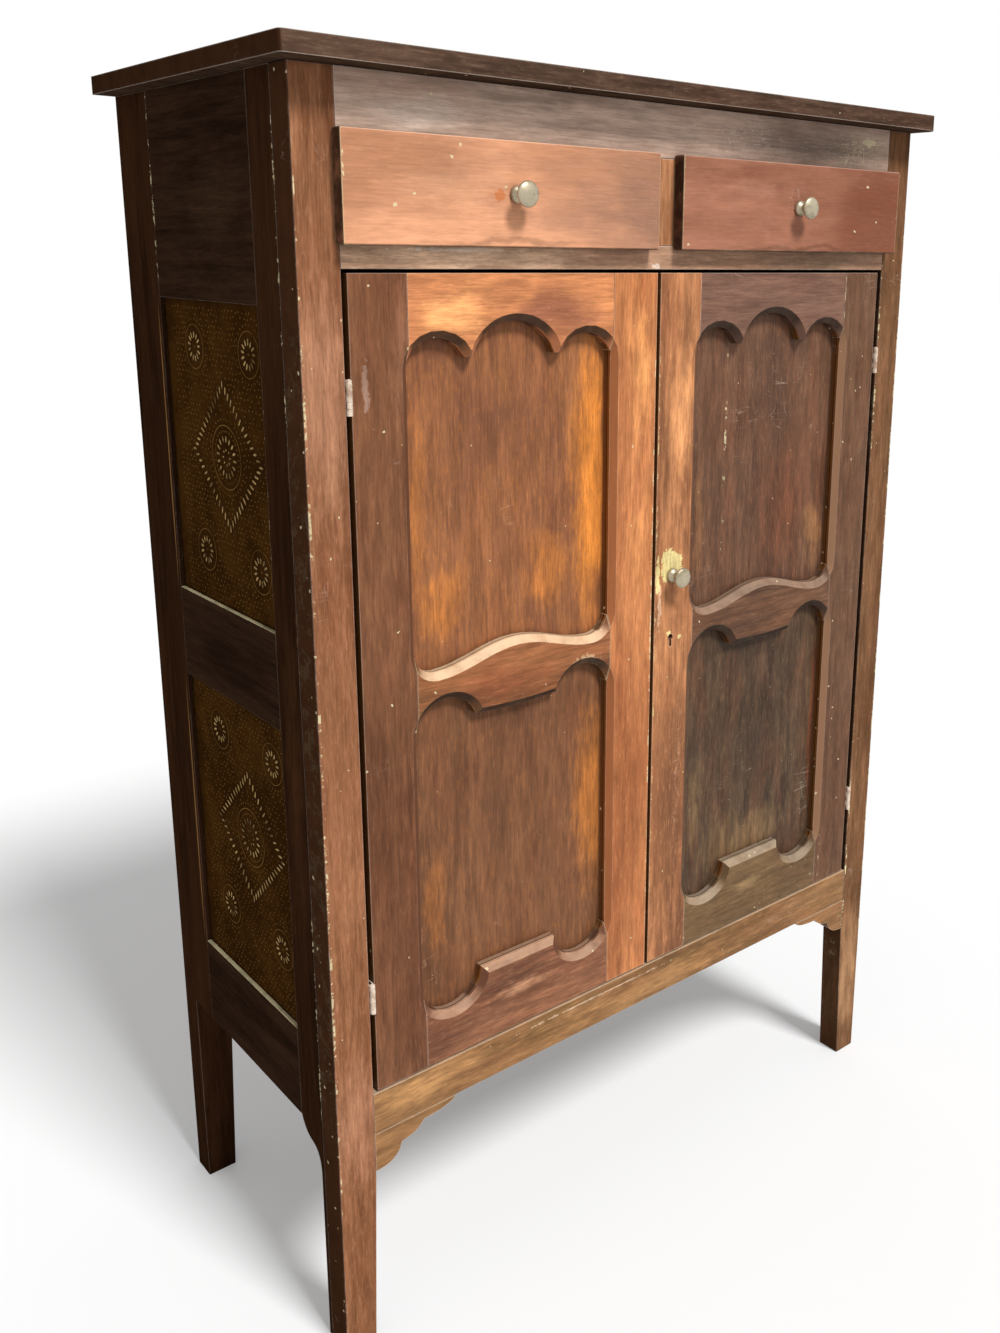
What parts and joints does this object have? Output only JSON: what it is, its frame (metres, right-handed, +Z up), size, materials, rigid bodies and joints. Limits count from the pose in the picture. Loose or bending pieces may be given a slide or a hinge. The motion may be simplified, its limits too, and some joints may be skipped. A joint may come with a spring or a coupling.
{
  "type": "pie safe",
  "caption": "Standing wooden pie safe with drawers under an overhanging top, hinged doors with scalloped openings, punched-tin sides and post legs.",
  "frame": {"origin": "on the floor, under the middle of the whole object's box", "axes": "+Z up, +X to the right seen from the front, +Y from the front to the back"},
  "size_m": [1.04, 0.5034, 1.5553],
  "materials": {
    "case_wood": "old dark brown varnish, worn at the edges",
    "door_wood": "glossy red-brown varnish, worn to orange",
    "drawer_wood": "glossy red-brown varnish, worn to lighter streaks",
    "inside_wood": "unfinished, darkened with age",
    "tin": "punched tin with a dark olive-brown coat, some sheen",
    "brass": "tarnished, dull",
    "iron": "dark, aged"
  },
  "bodies": {
    "case": {"top_board": "case_wood", "front_left_post": "case_wood", "front_right_post": "case_wood", "rear_left_post": "case_wood", "rear_right_post": "case_wood", "frieze_rail": "case_wood", "drawer_divider": "case_wood", "drawer_rail": "case_wood", "bottom_rail": "case_wood", "left_bracket": "case_wood", "right_bracket": "case_wood", "left_front_stile": "case_wood", "left_top_panel": "case_wood", "left_middle_rail": "case_wood", "left_bottom_rail": "case_wood", "left_lower_tin": "tin", "left_upper_tin": "tin", "right_front_stile": "case_wood", "right_top_panel": "case_wood", "right_middle_rail": "case_wood", "right_bottom_rail": "case_wood", "right_lower_tin": "tin", "right_upper_tin": "tin", "back_boards": "inside_wood", "floor_board": "inside_wood", "lower_shelf": "inside_wood", "upper_shelf": "inside_wood", "drawer_frame": "inside_wood", "left_lower_post_leaf": "iron", "left_upper_post_leaf": "iron", "right_lower_post_leaf": "iron", "right_upper_post_leaf": "iron"},
    "left_drawer": {"left_drawer_front": "drawer_wood", "left_drawer_box": "inside_wood", "left_drawer_knob": "brass"},
    "right_drawer": {"right_drawer_front": "drawer_wood", "right_drawer_box": "inside_wood", "right_drawer_knob": "brass"},
    "left_door": {"left_door_hinge_stile": "door_wood", "left_door_meeting_stile": "door_wood", "left_door_top_rail": "door_wood", "left_door_middle_rail": "door_wood", "left_door_bottom_rail": "door_wood", "left_door_lower_panel": "door_wood", "left_door_upper_panel": "door_wood", "left_lower_door_leaf": "iron", "left_upper_door_leaf": "iron"},
    "right_door": {"right_door_hinge_stile": "door_wood", "right_door_meeting_stile": "door_wood", "right_door_top_rail": "door_wood", "right_door_middle_rail": "door_wood", "right_door_bottom_rail": "door_wood", "right_door_lower_panel": "door_wood", "right_door_upper_panel": "door_wood", "right_lower_door_leaf": "iron", "right_upper_door_leaf": "iron", "right_door_knob": "brass", "lock_case": "iron"},
    "lock_bolt": {"lock_bolt": "brass"},
    "turn_button": {"turn_button": "inside_wood"}
  },
  "joints": [
    {"name": "left_door_hinge", "type": "hinge", "parent": "case", "child": "left_door", "pos_m": [-0.44025, -0.20735, 0.85], "axis": [0, 0, -1], "range_deg": [0, 165]},
    {"name": "right_door_hinge", "type": "hinge", "parent": "case", "child": "right_door", "pos_m": [0.45225, -0.20735, 0.85], "axis": [0, 0, 1], "range_deg": [0, 165]},
    {"name": "left_drawer_slide", "type": "slide", "parent": "case", "child": "left_drawer", "axis": [0, -1, 0], "range_m": [0, 0.3]},
    {"name": "right_drawer_slide", "type": "slide", "parent": "case", "child": "right_drawer", "axis": [0, -1, 0], "range_m": [0, 0.3]},
    {"name": "lock_bolt_slide", "type": "slide", "parent": "right_door", "child": "lock_bolt", "axis": [-1, 0, 0], "range_m": [0, 0.012]},
    {"name": "turn_button_pivot", "type": "hinge", "parent": "left_door", "child": "turn_button", "pos_m": [-0.054, -0.17255, 1.317], "axis": [0, 1, 0], "range_deg": [0, 90]}
  ]
}
